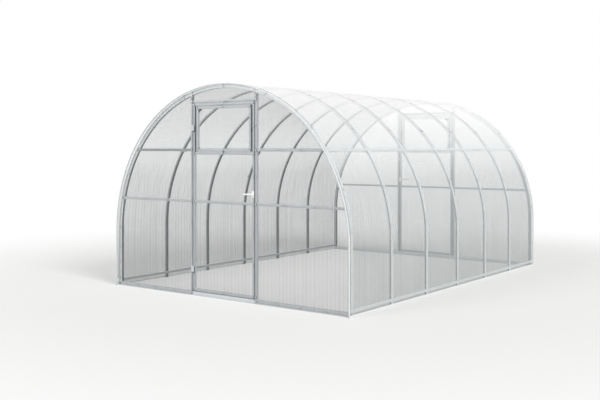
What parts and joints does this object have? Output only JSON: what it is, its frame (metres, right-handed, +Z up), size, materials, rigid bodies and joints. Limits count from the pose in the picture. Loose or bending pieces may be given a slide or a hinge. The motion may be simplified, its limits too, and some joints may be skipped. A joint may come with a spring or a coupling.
{
  "type": "polycarbonate tunnel greenhouse",
  "caption": "Arched tunnel greenhouse of galvanised tube under clear twin-wall sheet, with a hinged door and a vent sash in each gable",
  "frame": {"origin": "on the ground, in the middle of the plan", "axes": "+X to the right seen from the front gable, +Y from the front gable to the rear gable along the tunnel, +Z up"},
  "size_m": [3, 4.16, 2.0998],
  "materials": {
    "galvanised_steel": "dull hot-dip zinc, pale grey, slightly mottled",
    "polycarbonate": "clear twin-wall sheet with fine flutes, glossy skins that whiten at a grazing view",
    "white_plastic": "white moulded ABS, satin gloss"
  },
  "bodies": {
    "tunnel": {"front_arch": "galvanised_steel", "arch_2": "galvanised_steel", "arch_3": "galvanised_steel", "arch_4": "galvanised_steel", "arch_5": "galvanised_steel", "arch_6": "galvanised_steel", "rear_arch": "galvanised_steel", "left_base_rail": "galvanised_steel", "right_base_rail": "galvanised_steel", "left_purlin": "galvanised_steel", "right_purlin": "galvanised_steel", "front_cover_sheet": "polycarbonate", "rear_cover_sheet": "polycarbonate", "front_sill": "galvanised_steel", "front_left_post": "galvanised_steel", "front_right_post": "galvanised_steel", "front_header": "galvanised_steel", "front_left_bars": "galvanised_steel", "front_right_bars": "galvanised_steel", "front_left_panel": "polycarbonate", "front_right_panel": "polycarbonate", "front_top_panel": "polycarbonate", "front_hinge_jambs": "white_plastic", "rear_sill": "galvanised_steel", "rear_left_post": "galvanised_steel", "rear_right_post": "galvanised_steel", "rear_header": "galvanised_steel", "rear_left_bars": "galvanised_steel", "rear_right_bars": "galvanised_steel", "rear_left_panel": "polycarbonate", "rear_right_panel": "polycarbonate", "rear_top_panel": "polycarbonate", "rear_hinge_jambs": "white_plastic"},
    "front_door": {"front_door_frame": "galvanised_steel", "front_door_panel": "polycarbonate", "front_vent_frame": "galvanised_steel", "front_vent_panel": "polycarbonate", "front_door_fittings": "white_plastic"},
    "front_lever": {"front_door_lever": "white_plastic"},
    "rear_door": {"rear_door_frame": "galvanised_steel", "rear_door_panel": "polycarbonate", "rear_vent_frame": "galvanised_steel", "rear_vent_panel": "polycarbonate", "rear_door_fittings": "white_plastic"},
    "rear_lever": {"rear_door_lever": "white_plastic"}
  },
  "joints": [
    {"name": "front_door_hinge", "type": "hinge", "parent": "tunnel", "child": "front_door", "pos_m": [-0.403, -2.05, 0.9685], "axis": [0, 0, -1], "range_deg": [0, 120]},
    {"name": "front_lever_turn", "type": "hinge", "parent": "front_door", "child": "front_lever", "pos_m": [0.3875, -2.048, 1.033], "axis": [0, -1, 0], "range_deg": [0, 45], "stiffness_Nm_per_rad": 0.3, "springref_deg": -17.19},
    {"name": "rear_door_hinge", "type": "hinge", "parent": "tunnel", "child": "rear_door", "pos_m": [0.403, 2.05, 0.9685], "axis": [0, 0, -1], "range_deg": [0, 120]},
    {"name": "rear_lever_turn", "type": "hinge", "parent": "rear_door", "child": "rear_lever", "pos_m": [-0.3875, 2.048, 1.033], "axis": [0, 1, 0], "range_deg": [0, 45], "stiffness_Nm_per_rad": 0.3, "springref_deg": -17.19}
  ]
}
